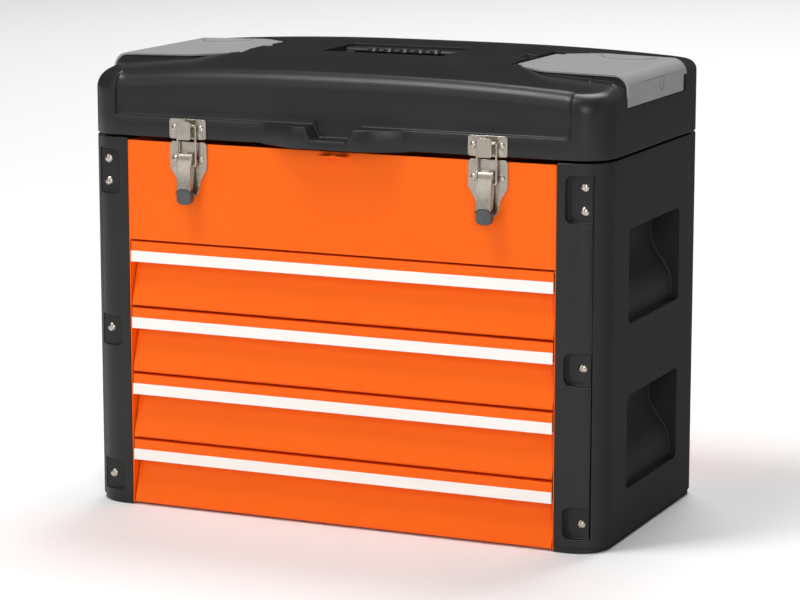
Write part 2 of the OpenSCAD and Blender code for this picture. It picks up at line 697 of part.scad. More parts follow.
// plan of a compartment cover on the right, grown by more
function cover_points(sy, more) = [for (i = [0 : 8]) [cover_in + cover_flare * i / 8 - more,
    sy * (cover_half_in + more + (cover_half_out - cover_half_in) * flare(i / 8))]];
module cover_plan(more, back) {
    low = cover_points(-1, more);
    high = cover_points(1, more);
    polygon(concat([[cover_in - back, low[0][1]]], low,
        [[box_w, -cover_half_out - more], [box_w, cover_half_out + more]],
        [for (i = [8 : -1 : 0]) high[i]], [[cover_in - back, high[0][1]]]));
}

// side view of a cover's skin: its top surface lowered by down and shortened by down at the end
bend_x = cover_end - cover_bend_r;
bend_z = cover_top_out - cover_bend_r;
module cover_section(down, foot) {
    r = cover_bend_r - down;
    polygon(concat(
        [[cover_in - 20, foot], [cover_in - 20, cover_top_in - down], [cover_in, cover_top_in - down]],
        [for (a = [90 : -9 : 0]) [bend_x + r * cos(a), bend_z + r * sin(a)]],
        [[cover_end - down, foot]]));
}
module cover_solid(down, foot, more, back) intersection() {
    rotate([90, 0, 0]) linear_extrude(box_d, center = true) cover_section(down, foot);
    translate([0, 0, foot]) linear_extrude(box_h) cover_plan(more, back);
}

module cover_barrel(r, half) translate([cover_pin_x, -half, cover_pin_z]) rotate([-90, 0, 0])
    cylinder(r = r, h = 2 * half, $fn = 48);

module organiser_cover(side) color(grey) mirror([side < 0 ? 1 : 0, 0, 0]) {
    difference() {
        union() {
            difference() {
                cover_solid(0, cover_low, 0, 0);
                rotate([90, 0, 0]) linear_extrude(box_d, center = true)
                    cover_section(cover_t, cover_low - slop);
                translate([cover_in - slop, -box_d / 2, cover_low]) cube([hinge_r + slop, box_d, box_h]);
            }
            cover_barrel(hinge_r, barrel_half);
        }
        translate([cover_end - mark_in, mark_y, cover_low + 2 * mark_r]) rotate([0, 90, 0])
            cylinder(r = mark_r, h = 2 * mark_in);
        translate([bend_x, cover_half_out - flap_step, cover_low - slop])
            cube([box_w, box_d, bend_z - cover_low + slop]);
        for (sy = [0, 1]) mirror([0, sy, 0]) translate([cover_in - slop, barrel_half, cover_low])
            cube([corner_cut + slop, bearing_end + 2 - barrel_half, box_h]);
    }
    cover_barrel(hinge_pin_r, cover_pin_half);
    intersection() {
        translate([arc_x, arc_y, cover_low]) difference() {
            cylinder(r = arc_r, h = box_h);
            translate([0, 0, -slop]) cylinder(r = arc_r - arc_w, h = box_h + 2 * slop);
            translate([-box_w, 0, -slop]) cube([2 * box_w, box_d, box_h + 2 * slop]);
        }
        rotate([90, 0, 0]) linear_extrude(box_d, center = true) difference() {
            cover_section(-arc_h, cover_low);
            cover_section(arc_h, cover_low - slop);
        }
    }
}
module left_cover() organiser_cover(-1);
module right_cover() organiser_cover(1);

module keeper(h) translate([cover_in - seat_back - keeper_w, keeper_y, box_h - 6]) cube([keeper_w, 20, h]);
module cover_keepers() color(black) for (sx = [0, 1]) mirror([sx, 0, 0]) keeper(keeper_h);

// everything that is cut for one compartment and its cover
module cover_seat() {
    intersection() {
        rotate([90, 0, 0]) linear_extrude(box_d, center = true) difference() {
            translate([cover_in - 20, cover_low - cover_gap]) square([box_w, box_h]);
            cover_section(cover_t + small, cover_low - slop);
        }
        translate([0, 0, cover_low - cover_gap]) linear_extrude(box_h) cover_plan(cover_gap, seat_back);
    }
    cover_barrel(hinge_r + cover_gap, barrel_half + cover_gap);
}

// bearings that stand up from the lid at the ends of a cover's barrel
module cover_bearings() for (sy = [0, 1]) mirror([0, sy, 0])
    translate([cover_pin_x, barrel_half + cover_gap, cover_pin_z]) rotate([-90, 0, 0])
        cylinder(r = hinge_r, h = bearing_end - barrel_half - cover_gap, $fn = 48);

module bin_block(grow, top) translate([bin_in - grow, -bin_half - grow, bin_floor - grow])
    cube([bin_out - bin_in + 2 * grow, 2 * bin_half + 2 * grow, top - bin_floor + grow]);

module handle_well(grow, top) translate([0, 0, well_floor - grow]) linear_extrude(top - well_floor + grow)
    rounded_plan(well_w + 2 * grow, well_d + 2 * grow, 4 + grow);

module lid_shell() color(black) difference() {
    union() {
        difference() {
            lid_form(0, lid_z);
            translate([-field_x, face_y - slop, band_z]) cube([2 * field_x, field_in + slop, box_h]);
            for (sx = [0, 1]) mirror([sx, 0, 0]) cover_seat();
            // hollow under the crown
            difference() {
                intersection() {
                    lid_form(lid_wall, lid_z - slop);
                    translate([-box_w, face_y + field_in + rim_deep, lid_z - slop])
                        cube([2 * box_w, box_d, box_h]);
                }
                handle_well(well_wall, box_h);
                for (sx = [0, 1]) mirror([sx, 0, 0]) {
                    bin_block(bin_wall, box_h);
                    translate([cover_pin_x, 0, cover_pin_z - spine_half + box_h / 2])
                        cube([2 * spine_half, 2 * cover_half_in + 2 * spine_half, box_h], center = true);
                    translate([well_w / 2, arm_y, arm_z]) rotate([0, 90, 0])
                        cylinder(r = boss_r, h = 2 * well_wall);
                }
            }
        }
        for (sx = [0, 1]) mirror([sx, 0, 0]) cover_bearings();
        // pads under the covers
        for (sx = [0, 1]) mirror([sx, 0, 0]) difference() {
            intersection() {
                cover_solid(cover_t + small, cover_low, -pad_in, 0);
                translate([cover_in + 8, -box_d, cover_low]) cube([box_w, 2 * box_d, box_h]);
            }
            translate([0, -box_d, 0]) cube([bin_out + bin_wall, 2 * box_d, pad_foot]);
        }
        lid_lip();
    }
    for (sx = [0, 1]) mirror([sx, 0, 0]) {
        bin_block(0, box_h + slop);
        cover_barrel(hinge_pin_r + running, cover_pin_half + cover_gap);
        translate([0, arm_y, arm_z]) rotate([0, 90, 0])
            cylinder(r = handle_pin_r + running, h = well_w / 2 + handle_pin_in, $fn = 48);
        keeper(2 * keeper_h);
        for (dx = [-1, 1]) {
            translate([latch_x + dx * latch_rivet_x, face_y - slop, catch_rivet_z]) rotate([-90, 0, 0])
                cylinder(r = small_hole_r, h = lid_wall + field_in + slop, $fn = 32);
            translate([hinge_x + dx * leaf_rivet_x, box_d / 2 + slop, lid_leaf_rivet_z]) rotate([90, 0, 0])
                cylinder(r = 2, h = lid_wall + 2 * slop, $fn = 32);
        }
    }
    handle_well(0, box_h + slop);
}

// ---------------------------------------------------------------- handle

module handle() color(black) difference() {
    union() {
        translate([-bar_half, bar_front, grip_top - grip_bar_h])
            cube([2 * bar_half, grip_bar_d, grip_bar_h]);
        for (sx = [0, 1]) mirror([sx, 0, 0]) {
            translate([bar_half - arm_w, arm_y, arm_z - arm_h / 2])
                cube([arm_w, bar_front - arm_y + 4, arm_h]);
            translate([bar_half - arm_w, arm_y, arm_z]) rotate([0, 90, 0])
                cylinder(r = arm_h / 2, h = arm_w);
            translate([bar_half - slop, arm_y, arm_z]) rotate([0, 90, 0])
                cylinder(r = handle_pin_r, h = handle_pin_l, $fn = 48);
        }
    }
    for (i = [-2 : 2])
        translate([i * scallop_step, bar_front + scallop_in - scallop_r, grip_top - grip_bar_h - slop])
            cylinder(r = scallop_r, h = grip_bar_h - 2, $fn = 48);
}

// ---------------------------------------------------------------- one line for each node

placed() left_side_panel();
placed() right_side_panel();
placed() back_panel();
placed() bottom_panel();
placed() bay_floor();
placed() front_fascia();
placed() left_end_frame();
placed() right_end_frame();
placed() frame_rivets();
placed() drawer_runners();
placed() hinge_body_leaves();
placed() hinge_pins();
placed() latch_bases();
placed() latch_pins();
placed() plate_rivets();
placed() lid_shell();
placed() hinge_lid_leaves();
placed() latch_catches();
placed() lid_rivets();
placed() cover_keepers();
placed() handle();
placed() left_cover();
placed() right_cover();
placed() left_lever();
placed() left_lever_tip();
placed() left_bail();
placed() right_lever();
placed() right_lever_tip();
placed() right_bail();
placed() drawer_tray(1);  // drawer_1_tray
placed() drawer_front(1);  // drawer_1_front
placed() drawer_strip(1);  // drawer_1_strip
placed() drawer_rails(1);  // drawer_1_rails
placed() drawer_tray(2);  // drawer_2_tray
placed() drawer_front(2);  // drawer_2_front
placed() drawer_strip(2);  // drawer_2_strip
placed() drawer_rails(2);  // drawer_2_rails
placed() drawer_tray(3);  // drawer_3_tray
placed() drawer_front(3);  // drawer_3_front
placed() drawer_strip(3);  // drawer_3_strip
placed() drawer_rails(3);  // drawer_3_rails
placed() drawer_tray(4);  // drawer_4_tray
placed() drawer_front(4);  // drawer_4_front
placed() drawer_strip(4);  // drawer_4_strip
placed() drawer_rails(4);  // drawer_4_rails
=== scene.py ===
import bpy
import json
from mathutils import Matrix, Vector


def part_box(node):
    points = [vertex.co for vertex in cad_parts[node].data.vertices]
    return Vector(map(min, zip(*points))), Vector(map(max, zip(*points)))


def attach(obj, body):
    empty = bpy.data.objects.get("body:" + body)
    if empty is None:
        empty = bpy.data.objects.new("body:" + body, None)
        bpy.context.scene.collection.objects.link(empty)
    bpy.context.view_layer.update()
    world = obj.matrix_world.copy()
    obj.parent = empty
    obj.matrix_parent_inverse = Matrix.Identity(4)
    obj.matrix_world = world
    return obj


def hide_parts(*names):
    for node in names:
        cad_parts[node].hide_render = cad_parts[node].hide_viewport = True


bl_info = {
    "name": "Portable Tool Box",
    "version": (1, 0, 0),
    "blender": (4, 5, 0),
    "location": "View3D > Sidebar > Tool Box",
    "description": "Dresses the frame of a tool box with drawers, and sets up its stage",
    "category": "Object",
}

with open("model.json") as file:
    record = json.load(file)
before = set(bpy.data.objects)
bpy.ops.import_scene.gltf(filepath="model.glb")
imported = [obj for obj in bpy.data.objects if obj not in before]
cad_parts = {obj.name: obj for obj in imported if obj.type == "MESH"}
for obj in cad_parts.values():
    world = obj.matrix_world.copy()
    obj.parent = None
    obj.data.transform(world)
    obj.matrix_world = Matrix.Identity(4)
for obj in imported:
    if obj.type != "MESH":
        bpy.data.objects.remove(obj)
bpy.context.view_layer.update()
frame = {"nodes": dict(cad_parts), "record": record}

import json
import math

import bmesh
import bpy
from mathutils import Vector

MM = 0.001
# the end frames are centred on the box's own middle, which lies a little behind the frame's origin;
# 500 takes half of the sum and turns metres into millimetres
MIDDLE = 500 * sum(corner.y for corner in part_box("left_end_frame"))


def at(x, y, z):
    """A point of the box in millimetres, y from its own middle, in the frame's metres."""
    return Vector((x, y + MIDDLE, z)) * MM


# ---------------------------------------------------------------- finishes


def colour(text):
    """An sRGB hex colour as linear red, green and blue."""
    parts = [int(text[i:i + 2], 16) / 255 for i in (1, 3, 5)]
    return tuple(c / 12.92 if c <= 0.04045 else ((c + 0.055) / 1.055) ** 2.4 for c in parts)


def add(tree, kind, inputs=(), **settings):
    """Adds a node with its settings; an input takes a value, a colour, or a node or its output."""
    node = tree.nodes.new("ShaderNode" + kind)
    for key, value in settings.items():
        setattr(node, key, value)
    for key, value in dict(inputs).items():
        if isinstance(value, bpy.types.Node):
            value = value.outputs[0]
        if isinstance(value, bpy.types.NodeSocket):
            tree.links.new(value, node.inputs[key])
        elif node.inputs[key].type == "RGBA":
            node.inputs[key].default_value = (*value[:3], 1.0)
        else:
            node.inputs[key].default_value = value
    return node


def per_mm(size):
    """Scale of a noise or cell pattern whose features are so many millimetres across."""
    return 1 / (size * MM)


# a noise stays near a half, so its middle is what a range or a blend is spread over
NOISE_RANGE = {"From Min": 0.3, "From Max": 0.7}


def blank(name):
    """An empty material, its tree and the piece's own coordinates."""
    material = bpy.data.materials.new(name)
    material.use_nodes = True
    tree = material.node_tree
    tree.nodes.clear()
    return material, tree, add(tree, "TexCoord").outputs["Object"]


# roughness of the faces that look to the sides, what the top's finer grain takes off,
# and how far the flow clouds vary it
SIDE_ROUGH, TOP_FINER, FLOW = 0.93, 0.12, 0.03


def moulded_polypropylene(name, base, pale, grain_mm, rough, specular):
    """Injection-moulded polypropylene: a fine spark-eroded grain that spreads the highlights,
    faint flow clouds, a much duller grain on the faces that look to the sides and a finer one on top."""
    material, tree, place = blank(name)
    facing = add(tree, "SeparateXYZ", {0: add(tree, "TexCoord").outputs["Normal"]})
    sideways = add(tree, "Math", {0: facing}, operation="ABSOLUTE")
    side_dull = add(tree, "MapRange", {"Value": sideways, "From Min": 0.6, "From Max": 0.95,
                                       "To Max": SIDE_ROUGH - rough})
    top_shine = add(tree, "MapRange", {"Value": facing.outputs["Z"], "From Min": 0.9, "From Max": 0.98,
                                       "To Max": -TOP_FINER})
    clouds = add(tree, "TexNoise", {"Vector": place, "Scale": per_mm(70), "Detail": 3})
    grain = add(tree, "TexNoise", {"Vector": place, "Scale": per_mm(grain_mm), "Detail": 2})
    share = add(tree, "MapRange", {"Value": clouds, **NOISE_RANGE})
    tint = add(tree, "Mix", {0: share, 6: base, 7: pale}, data_type="RGBA")
    dull = add(tree, "MapRange", {"Value": clouds, **NOISE_RANGE, "To Min": rough - FLOW,
                                  "To Max": rough + FLOW})
    faces = add(tree, "Math", {0: side_dull, 1: top_shine}, operation="ADD")
    gloss = add(tree, "Math", {0: dull, 1: faces}, operation="ADD")
    bump = add(tree, "Bump", {"Height": grain, "Distance": 0.05 * MM})
    shader = add(tree, "BsdfPrincipled", {"Base Color": tint.outputs[2], "Roughness": gloss, "Normal": bump,
                                          "IOR": 1.49, "Specular IOR Level": specular})
    add(tree, "OutputMaterial", {"Surface": shader})
    return material


def powder_coated_steel(name, base, deep):
    """Powder coat baked on sheet steel: even strong colour, a satin gloss and a shallow orange peel."""
    material, tree, place = blank(name)
    peel = add(tree, "TexNoise", {"Vector": place, "Scale": per_mm(2.2), "Detail": 1})
    film = add(tree, "TexNoise", {"Vector": place, "Scale": per_mm(120), "Detail": 2})
    share = add(tree, "MapRange", {"Value": film, **NOISE_RANGE, "To Max": 0.5})
    tint = add(tree, "Mix", {0: share, 6: base, 7: deep}, data_type="RGBA")
    dull = add(tree, "MapRange", {"Value": peel, **NOISE_RANGE, "To Min": 0.42, "To Max": 0.48})
    bump = add(tree, "Bump", {"Height": peel, "Distance": 0.03 * MM})
    shader = add(tree, "BsdfPrincipled", {"Base Color": tint.outputs[2], "Roughness": dull, "Normal": bump,
                                          "IOR": 1.5, "Specular IOR Level": 0.22})
    add(tree, "OutputMaterial", {"Surface": shader})
    return material


def nickel_plated_steel(name, base, deep):
    """Pressed steel with bright nickel: soft reflections with the fine grain of rolled strip."""
    material, tree, place = blank(name)
    along = add(tree, "Mapping", {"Vector": place, "Scale": (1, 1, 0.08)})
    strip = add(tree, "TexNoise", {"Vector": along, "Scale": per_mm(0.5), "Detail": 3})
    stains = add(tree, "TexNoise", {"Vector": place, "Scale": per_mm(9), "Detail": 3})
    share = add(tree, "MapRange", {"Value": stains, **NOISE_RANGE})
    tint = add(tree, "Mix", {0: share, 6: base, 7: deep}, data_type="RGBA")
    dull = add(tree, "MapRange", {"Value": strip, **NOISE_RANGE, "To Min": 0.24, "To Max": 0.36})
    bump = add(tree, "Bump", {"Height": strip, "Distance": 0.012 * MM})
    shader = add(tree, "BsdfPrincipled", {"Base Color": tint.outputs[2], "Roughness": dull, "Normal": bump,
                                          "Metallic": 1.0})
    add(tree, "OutputMaterial", {"Surface": shader})
    return material


def coated_aluminium(name, base, deep):
    """Extruded aluminium strip with a white satin coat: nearly flat, with faint drawing lines."""
    material, tree, place = blank(name)
    along = add(tree, "Mapping", {"Vector": place, "Scale": (0.01, 1, 1)})
    lines = add(tree, "TexNoise", {"Vector": along, "Scale": per_mm(0.8), "Detail": 2})
    share = add(tree, "MapRange", {"Value": lines, **NOISE_RANGE, "To Max": 0.5})
    tint = add(tree, "Mix", {0: share, 6: base, 7: deep}, data_type="RGBA")
    dull = add(tree, "MapRange", {"Value": lines, **NOISE_RANGE, "To Min": 0.36, "To Max": 0.46})
    bump = add(tree, "Bump", {"Height": lines, "Distance": 0.01 * MM})
    shader = add(tree, "BsdfPrincipled", {"Base Color": tint.outputs[2], "Roughness": dull, "Normal": bump,
                                          "IOR": 1.5, "Specular IOR Level": 0.4})
    add(tree, "OutputMaterial", {"Surface": shader})
    return material


def galvanised_steel(name, base, deep):
    """Hot-dip galvanised sheet: crystals of zinc about 9 mm across, each a little lighter or
    darker and more or less glossy."""
    material, tree, place = blank(name)
    wander = add(tree, "TexNoise", {"Vector": place, "Scale": per_mm(6), "Detail": 2})
    shift = add(tree, "VectorMath", {0: wander, 1: (3 * MM, 3 * MM, 3 * MM)}, operation="MULTIPLY")
    bent = add(tree, "VectorMath", {0: place, 1: shift}, operation="ADD")
    crystals = add(tree, "TexVoronoi", {"Vector": bent, "Scale": per_mm(9)})
    shade = add(tree, "SeparateColor", {"Color": crystals.outputs["Color"]})
    tint = add(tree, "Mix", {0: shade, 6: base, 7: deep}, data_type="RGBA")
    dull = add(tree, "MapRange", {"Value": shade, "To Min": 0.36, "To Max": 0.52})
    bump = add(tree, "Bump", {"Height": shade, "Distance": 0.01 * MM})
    shader = add(tree, "BsdfPrincipled", {"Base Color": tint.outputs[2], "Roughness": dull, "Normal": bump,
                                          "Metallic": 1.0})
    add(tree, "OutputMaterial", {"Surface": shader})
    return material


def dipped_vinyl(name, base, pale):
    """Black vinyl grip dipped over steel: soft, rather dull, with a waxy unevenness."""
    material, tree, place = blank(name)
    waves = add(tree, "TexNoise", {"Vector": place, "Scale": per_mm(3), "Detail": 2})
    share = add(tree, "MapRange", {"Value": waves, **NOISE_RANGE})
    tint = add(tree, "Mix", {0: share, 6: base, 7: pale}, data_type="RGBA")
    dull = add(tree, "MapRange", {"Value": waves, **NOISE_RANGE, "To Min": 0.4, "To Max": 0.5})
    bump = add(tree, "Bump", {"Height": waves, "Distance": 0.05 * MM})
    shader = add(tree, "BsdfPrincipled", {"Base Color": tint.outputs[2], "Roughness": dull, "Normal": bump,
                                          "IOR": 1.52, "Specular IOR Level": 0.4})
    add(tree, "OutputMaterial", {"Surface": shader})
    return material


def studio_paper(name, base, deep):
    """Matt seamless paper under the box, with a barely visible tooth."""
    material, tree, place = blank(name)
    tooth = add(tree, "TexNoise", {"Vector": place, "Scale": per_mm(4), "Detail": 3})
    share = add(tree, "MapRange", {"Value": tooth, **NOISE_RANGE, "To Max": 0.3})
    tint = add(tree, "Mix", {0: share, 6: base, 7: deep}, data_type="RGBA")
    bump = add(tree, "Bump", {"Height": tooth, "Distance": 0.05 * MM})
    shader = add(tree, "BsdfPrincipled", {"Base Color": tint.outputs[2], "Roughness": 0.9, "Normal": bump,
                                          "Specular IOR Level": 0.1})
    add(tree, "OutputMaterial", {"Surface": shader})
    return material


FINISHES = {}


def make_finishes(tints):
    FINISHES.update(
        black_plastic=moulded_polypropylene("Moulded black polypropylene", tints.black, tints.black_pale,
                                            grain_mm=0.9, rough=0.34, specular=0.3),
        orange_steel=powder_coated_steel("Powder-coated orange steel", tints.orange, tints.orange_deep),
        nickel_steel=nickel_plated_steel("Nickel-plated pressed steel", tints.nickel, tints.nickel_deep),
        grey_plastic=moulded_polypropylene("Moulded grey polypropylene", tints.grey, tints.grey_deep,
                                           grain_mm=1.2, rough=0.5, specular=0.3),
        white_strip=coated_aluminium("White-coated aluminium strip", tints.white, tints.white_deep),
        zinc_steel=galvanised_steel("Galvanised sheet steel", tints.zinc, tints.zinc_deep),
        black_tip=dipped_vinyl("Dipped black vinyl", tints.tip, tints.tip_pale),
    )


# ---------------------------------------------------------------- mesh helpers


def stands_for(piece, node):
    """Gives a new piece the finish of its node's material slot and the node's body, and hides the node."""
    record = frame["record"]
    slot = next(part["material_slot"] for part in record["subparts"] if part["node"] == node)
    body = next(name for name, nodes in record["behaviour"]["bodies"].items() if node in nodes)
    piece.data.materials.clear()
    piece.data.materials.append(FINISHES[slot])
    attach(piece, body)
    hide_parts(node)


def new_piece(name, mesh):
    piece = bpy.data.objects.new(name, mesh)
    bpy.context.scene.collection.objects.link(piece)
    return piece


def smoothed(mesh, angle):
    """Shades a mesh smooth but for the edges that are sharper than an angle."""
    for face in mesh.polygons:
        face.use_smooth = True
    mesh.set_sharp_from_angle(angle=math.radians(angle))


def round_edges(piece, width, steps, angle=32):
    """Rounds the edges that are sharper than an angle, and keeps the flats flat."""
    bevel = piece.modifiers.new("edges", "BEVEL")
    bevel.width = width
    bevel.segments = steps
    bevel.limit_method = "ANGLE"
    bevel.angle_limit = math.radians(angle)
    bevel.use_clamp_overlap = False
    bevel.harden_normals = True
    bevel.miter_outer = "MITER_ARC"


def refined(node, width, steps=2, angle=32, flat=0.8):
    """A copy of a frame node with its flats merged and its edges rounded, standing for it."""
    shell = bmesh.new()
    shell.from_mesh(frame["nodes"][node].data)
    bmesh.ops.remove_doubles(shell, verts=shell.verts, dist=0.01 * MM)
    bmesh.ops.dissolve_limit(shell, angle_limit=math.radians(flat), verts=shell.verts, edges=shell.edges)
    mesh = bpy.data.meshes.new(node + "_surface")
    shell.to_mesh(mesh)
    shell.free()
    smoothed(mesh, angle)
    piece = new_piece(node + "_surface", mesh)
    round_edges(piece, width, steps, angle)
    stands_for(piece, node)


def lofted(name, rings, closed_top=True):
    """A mesh of closed rings, capped below and, if asked, above."""
    mesh = bmesh.new()
    rows = [[mesh.verts.new(p) for p in ring] for ring in rings]
    count = len(rows[0])
    for low, high in zip(rows, rows[1:]):
        for i in range(count):
            j = (i + 1) % count
            mesh.faces.new((low[i], low[j], high[j], high[i]))
    mesh.faces.new(list(reversed(rows[0])))
    if closed_top:
        mesh.faces.new(rows[-1])
    bmesh.ops.remove_doubles(mesh, verts=mesh.verts, dist=0.002 * MM)
    bmesh.ops.dissolve_degenerate(mesh, edges=mesh.edges, dist=0.001 * MM)
    bmesh.ops.recalc_face_normals(mesh, faces=mesh.faces)
    data = bpy.data.meshes.new(name)
    mesh.to_mesh(data)
    mesh.free()
    return data


def block(axis, u, v, w, corner, steps=6):
    """A block with four rounded corners as seen along x, y or z; u and v are its sides, w its depth."""
    place = {"x": lambda a, b, c: at(c, a, b), "y": lambda a, b, c: at(a, c, b), "z": at}[axis]
    (u0, u1), (v0, v1) = sorted(u), sorted(v)
    ring = []
    for cu, cv, start in ((u1 - corner, v1 - corner, 0), (u0 + corner, v1 - corner, 90),
                          (u0 + corner, v0 + corner, 180), (u1 - corner, v0 + corner, 270)):
        for i in range(steps + 1):
            a = math.radians(start + 90 * i / steps)
            ring.append((cu + corner * math.cos(a), cv + corner * math.sin(a)))
    return lofted("block", [[place(a, b, c) for a, b in ring] for c in sorted(w)])


def rod(start, end, radius, count=40):
    """A round bar between two points in millimetres, as a cutter, a bearing or a pin."""
    a, b = at(*start), at(*end)
    side = (b - a).orthogonal().normalized()
    other = (b - a).normalized().cross(side)
    turns = [2 * math.pi * i / count for i in range(count)]
    ring = [(side * math.cos(t) + other * math.sin(t)) * radius * MM for t in turns]
    return lofted("rod", [[end_point + p for p in ring] for end_point in (a, b)])


def cut(piece, data, operation="DIFFERENCE"):
    """Cuts a mesh out of a piece, or joins it, for good."""
    tool = new_piece("tool", data)
    step = piece.modifiers.new("cut", "BOOLEAN")
    step.operation = operation
    step.solver = "EXACT"
    step.object = tool
    depsgraph = bpy.context.evaluated_depsgraph_get()
    result = bpy.data.meshes.new_from_object(piece.evaluated_get(depsgraph))
    piece.modifiers.clear()
    piece.data = result
    bpy.data.objects.remove(tool)


def taken(piece):
    """The mesh of a helper piece, which is removed."""
    data = piece.data
    bpy.data.objects.remove(piece)
    return data


# ---------------------------------------------------------------- end frames

# here and below sizes and places are millimetres, and half sizes lie to each side of the middle;
# open and past are how far the cutters pass the frame's open side and its faces
FRAME = dict(half_w=250.0, half_d=135.0, corner=32.0, inner=207.0, wall=3.5, top=340.5, foot=5.0,
             foot_in=1.5, open=6.0, past=5.0, pocket=(215.0, 242.0), pocket_deep=7.0, pocket_r=6.0,
             pad_end=249.0, pad_corner=0.5)
# height of each pocket's middle, and its own height
POCKETS = ((309.5, 41.0), (162.5, 28.0), (27.0, 28.0))
# flat and slope are shares of a grip's height, and its cutters reach beyond the frame's outside
GRIP = dict(feet=(45.0, 193.0), high=84.0, half=68.5, shallow=8.0, deep=28.0, ledge=5.0, corner=6.0,
            flat=0.12, slope=0.55, steps=26, beyond=20.0, cutter_half=90.0, cutter_x=(150.0, 300.0))


def frame_ring(side, inset, inner, z):
    """Plan of an end frame at a height, drawn in by inset, from the line where it meets the steel."""
    r = FRAME["corner"] - inset
    cx, cy = FRAME["half_w"] - FRAME["corner"], FRAME["half_d"] - FRAME["corner"]
    turns = [math.radians(a) for a in range(0, 91, 3)]
    quarter = [(cx + r * math.sin(a), cy + r * math.cos(a)) for a in turns]
    half = [(inner, FRAME["half_d"] - inset)] + quarter
    return [at(side * x, -y, z) for x, y in half] + [at(side * x, y, z) for x, y in reversed(half)]


def grip_depth(t):
    """Depth of a hand grip at a share of its height: shallow at its foot, deep at its top."""
    ramp = min(1.0, max(0.0, (t - GRIP["flat"]) / GRIP["slope"]))
    return GRIP["shallow"] + (GRIP["deep"] - GRIP["shallow"]) * (0.5 - 0.5 * math.cos(math.pi * ramp))


def grip_form(side, foot, grow):
    """The hollow of a hand grip, grown by a wall where it shapes the frame's inside."""
    outside = FRAME["half_w"] + GRIP["beyond"]
    line = [(outside, -grow), (FRAME["half_w"] - GRIP["shallow"] - grow, -grow)]
    for i in range(GRIP["steps"] + 1):
        t = i / GRIP["steps"]
        line.append((FRAME["half_w"] - grow - grip_depth(t),
                     GRIP["ledge"] + (GRIP["high"] - GRIP["ledge"]) * t - grow * (1 - 2 * t)))
    line.append((outside, GRIP["high"] + grow))
    ends = (-GRIP["cutter_half"], GRIP["cutter_half"])
    form = new_piece("grip", lofted("grip", [[at(side * x, y, foot + z) for x, z in line] for y in ends]))
    half = GRIP["half"] + grow
    cut(form, block("x", (-half, half), (foot - grow, foot + GRIP["high"] + grow),
                    [side * x for x in GRIP["cutter_x"]], GRIP["corner"] + grow, steps=8), "INTERSECT")
    return taken(form)


def end_frame(side, width):
    wall = FRAME["wall"]
    hollow = new_piece("hollow", lofted("hollow", [
        frame_ring(side, wall, FRAME["inner"] - FRAME["open"], z) for z in (wall, FRAME["top"] - wall)]))
    outer = new_piece("frame", lofted("frame", [
        frame_ring(side, inset, FRAME["inner"], z) for inset, z in
        ((FRAME["foot_in"], 0), (FRAME["foot_in"], FRAME["foot"]), (0, FRAME["foot"]), (0, FRAME["top"]))]))
    face, deep = FRAME["half_d"] + FRAME["past"], FRAME["half_d"] - FRAME["pocket_deep"]
    for z, high in POCKETS:
        for end in (-1, 1):
            cut(hollow, block("y", (side * (FRAME["inner"] - 2 * FRAME["open"]), side * FRAME["pad_end"]),
                              (z - high / 2 - wall, z + high / 2 + wall), (end * face, end * (deep - wall)),
                              FRAME["pad_corner"], steps=1))
    for foot in GRIP["feet"]:
        cut(hollow, grip_form(side, foot, wall))
    cut(outer, taken(hollow))
    for z, high in POCKETS:
        for end in (-1, 1):
            cut(outer, block("y", [side * x for x in FRAME["pocket"]], (z - high / 2, z + high / 2),
                             (end * face, end * deep), FRAME["pocket_r"]))
    for foot in GRIP["feet"]:
        cut(outer, grip_form(side, foot, 0))
    name = ("left" if side < 0 else "right") + "_end_frame"
    outer.name = name + "_moulding"
    smoothed(outer.data, angle=30)
    round_edges(outer, width, steps=3)
    stands_for(outer, name)


# ---------------------------------------------------------------- lid


def ease(t):
    t = min(1.0, max(0.0, t))
    return t * t * (3 - 2 * t)


# the edges are radii of the rounded top edge, which is rounder along the ends; the field is the front
# face, sunk above the band and sloping back out by field_half; where the band stands out by the ledge
# or more, its roundings are drawn in full
LID = dict(half_w=250.0, half_d=135.0, corner=32.0, foot=342.5, crown=416.5, band=18.5,
           front_edge=13.5, back_edge=9.0, end_edge=15.0, end_half=100.0, end_run=45.0,
           field=4.2, field_half=219.4, field_run=2.2, wall=5.0, front_wall=3.0, inner_edge=6.0,
           lip=15.0, lip_half=75.0, lip_flat=28.0, notch_top=24.0, notch_low=16.6, notch_h=11.0,
           ledge=3.5, side_rows=(370.0, 380.0), core_in=40.0)
# the crown falls to the ends past its flat, and to the front and back past its level strip
CROWN = dict(flat=20.0, run=214.0, bow=2.4, ends=6.5, level=30.0, reach=95.0, front=10.5, front_bow=1.25,
             back=3.0, front_corner=2.0, corner_x=218.0)
# how far in or out and how far up or down the points of the small roundings lie: at the foot, on the
# band's upper edge and in the corner above it
FOOT_EDGE = ((1.0, 0.0), (0.3, 0.3), (0.0, 1.0))
BAND_EDGE = ((0.0, 1.8), (0.53, 0.53), (1.8, 0.0))
BAND_FILLET = ((1.4, 0.12), (0.4, 0.5), (0.0, 1.6))
EDGE_STEPS = 10


def crown_z(x, y):
    """Height of the lid's crown, without its rounded edges."""
    along = CROWN["ends"] * (max(0.0, abs(x) - CROWN["flat"]) / CROWN["run"]) ** CROWN["bow"]
    share = max(0.0, abs(y) - CROWN["level"]) / CROWN["reach"]
    if y < 0:
        across = (CROWN["front"] * share ** CROWN["front_bow"]
                  + CROWN["front_corner"] * share * (x / CROWN["corner_x"]) ** 2)
    else:
        across = CROWN["back"] * share ** 2
    return LID["crown"] - along - across


